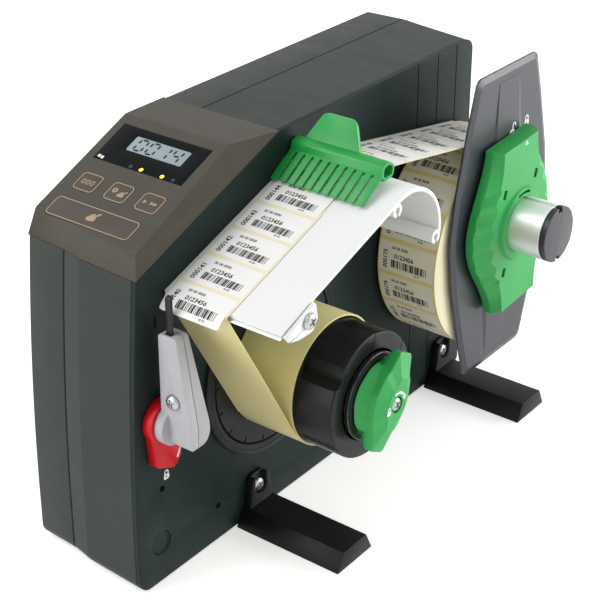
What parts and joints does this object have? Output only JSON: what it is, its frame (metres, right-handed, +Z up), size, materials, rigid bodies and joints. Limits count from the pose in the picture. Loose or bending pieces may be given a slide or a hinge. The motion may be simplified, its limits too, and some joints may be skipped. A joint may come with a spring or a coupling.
{
  "type": "label dispenser",
  "caption": "Desk label dispenser: flat housing with sloping keypad, side spindle with roll and guide wing, arched plate with peel edge, comb, swinging label sensor and liner rewinder drum.",
  "frame": {"origin": "middle of the bounding box's base, on the table under the machine", "axes": "+Z up; -Y is the front where the keypad and peel edge face the operator; +X points out of the mechanism wall toward the spindle's free end"},
  "size_m": [0.1864, 0.379, 0.2634],
  "materials": {
    "housing": "fine textured dark green-grey coat",
    "panel": "satin brown-grey",
    "key": "membrane, matt",
    "window": "clear black",
    "lcd": "pale liquid crystal display",
    "circuit": "circuit board",
    "black": "satin black",
    "green": "satin green",
    "white": "smooth white coat",
    "label": "label paper",
    "liner": "silicone paper",
    "card": "card tube",
    "sensor": "satin light grey",
    "red": "satin red",
    "slate": "satin slate grey",
    "steel": "zinc plated",
    "aluminium": "satin turned",
    "rubber": "matt rubber"
  },
  "bodies": {
    "housing": {"side_wall": "housing", "hole_plug": "housing", "main_cover": "housing", "left_cover": "housing", "control_panel": "panel", "display_window": "window", "lcd_display": "lcd", "control_board": "circuit", "dispensing_plate": "white", "peel_plate": "aluminium", "peel_bracket": "white", "peel_bracket_screw": "steel", "label_strip": "label", "liner_web": "liner", "comb_pin": "steel", "sensor_stud": "steel", "bearing_block": "aluminium", "wall_bearing": "steel", "tail_bearing": "steel", "motor_bracket": "steel", "gear_motor": "steel", "drive_belt": "rubber", "power_supply": "circuit", "power_inlet": "black", "spindle_tube": "aluminium", "spindle_base": "aluminium", "spindle_bolt": "steel", "spindle_cap": "slate", "front_foot": "black", "front_foot_screw": "steel", "rear_foot": "black", "rear_foot_screw": "steel", "front_rubber_foot": "rubber", "rear_rubber_foot": "rubber"},
    "clear_key": {"clear_key": "key"},
    "count_key": {"count_key": "key"},
    "advance_key": {"advance_key": "key"},
    "feed_key": {"feed_key": "key"},
    "comb": {"label_comb": "green"},
    "sensor": {"sensor_front_shell": "sensor", "sensor_rear_shell": "sensor", "sensor_screw": "steel"},
    "feeler": {"feeler_arm": "black"},
    "clamp": {"clamp_lever": "red"},
    "rewinder": {"rewinder_flange": "black", "rewinder_drum": "black", "hub_disc": "steel", "rewinder_shaft": "steel", "driven_pulley": "white", "liner_winding": "liner"},
    "knob": {"rewinder_knob": "green", "knob_screw": "steel"},
    "clamp_segment": {"clamp_segment": "black"},
    "motor_rotor": {"motor_pulley": "white"},
    "supply_roll": {"roll_core": "card", "label_roll": "label"},
    "wing": {"guide_wing": "slate"},
    "hub": {"lock_hub": "green"},
    "rocker": {"power_switch": "black"}
  },
  "joints": [
    {"name": "clear_key_press", "type": "slide", "parent": "housing", "child": "clear_key", "axis": [0, 0.3926, -0.9197], "range_m": [0, 0.0005], "stiffness_N_per_m": 900},
    {"name": "count_key_press", "type": "slide", "parent": "housing", "child": "count_key", "axis": [0, 0.3926, -0.9197], "range_m": [0, 0.0005], "stiffness_N_per_m": 900},
    {"name": "advance_key_press", "type": "slide", "parent": "housing", "child": "advance_key", "axis": [0, 0.3926, -0.9197], "range_m": [0, 0.0005], "stiffness_N_per_m": 900},
    {"name": "feed_key_press", "type": "slide", "parent": "housing", "child": "feed_key", "axis": [0, 0.3926, -0.9197], "range_m": [0, 0.0005], "stiffness_N_per_m": 900},
    {"name": "comb_lift", "type": "hinge", "parent": "housing", "child": "comb", "pos_m": [0.03075, -0.04045, 0.2408], "axis": [-1, 0, 0], "range_deg": [0, 70]},
    {"name": "sensor_swing", "type": "hinge", "parent": "housing", "child": "sensor", "pos_m": [0.00675, -0.16795, 0.1148], "axis": [1, 0, 0], "range_deg": [0, 50]},
    {"name": "feeler_flex", "type": "hinge", "parent": "sensor", "child": "feeler", "pos_m": [0.01115, -0.16955, 0.1588], "axis": [1, 0, 0], "range_deg": [0, 3], "stiffness_Nm_per_rad": 0.02},
    {"name": "clamp_turn", "type": "hinge", "parent": "housing", "child": "clamp", "pos_m": [0.00075, -0.16795, 0.1148], "axis": [1, 0, 0], "range_deg": [0, 60]},
    {"name": "rewinder_spin", "type": "hinge", "parent": "housing", "child": "rewinder", "pos_m": [0.03475, -0.06465, 0.1076], "axis": [1, 0, 0], "continuous": true},
    {"name": "knob_turn", "type": "hinge", "parent": "rewinder", "child": "knob", "pos_m": [0.08075, -0.06465, 0.1076], "axis": [1, 0, 0], "range_deg": [0, 30]},
    {"name": "segment_slide", "type": "slide", "parent": "rewinder", "child": "clamp_segment", "axis": [0, -0.515, -0.8572], "range_m": [0, 0.0024]},
    {"name": "motor_spin", "type": "hinge", "parent": "housing", "child": "motor_rotor", "pos_m": [-0.04425, 0.01505, 0.062], "axis": [1, 0, 0], "continuous": true},
    {"name": "roll_spin", "type": "hinge", "parent": "housing", "child": "supply_roll", "pos_m": [0.02175, 0.11705, 0.1307], "axis": [1, 0, 0], "continuous": true},
    {"name": "wing_slide", "type": "slide", "parent": "housing", "child": "wing", "axis": [1, 0, 0], "range_m": [0, 0.04]},
    {"name": "hub_lock", "type": "hinge", "parent": "wing", "child": "hub", "pos_m": [0.05675, 0.11705, 0.1493], "axis": [1, 0, 0], "range_deg": [-20, 5]},
    {"name": "rocker_tilt", "type": "hinge", "parent": "housing", "child": "rocker", "pos_m": [-0.03025, 0.16153, 0.078], "axis": [0.9862, -0.1655, 0], "range_deg": [-8, 8]}
  ],
  "couplings": [
    {"joint": "motor_spin", "follows": "rewinder_spin", "ratio": 3},
    {"joint": "roll_spin", "follows": "rewinder_spin", "ratio": 0.572},
    {"joint": "segment_slide", "follows": "knob_turn", "m_per_rad": 0.004584}
  ]
}
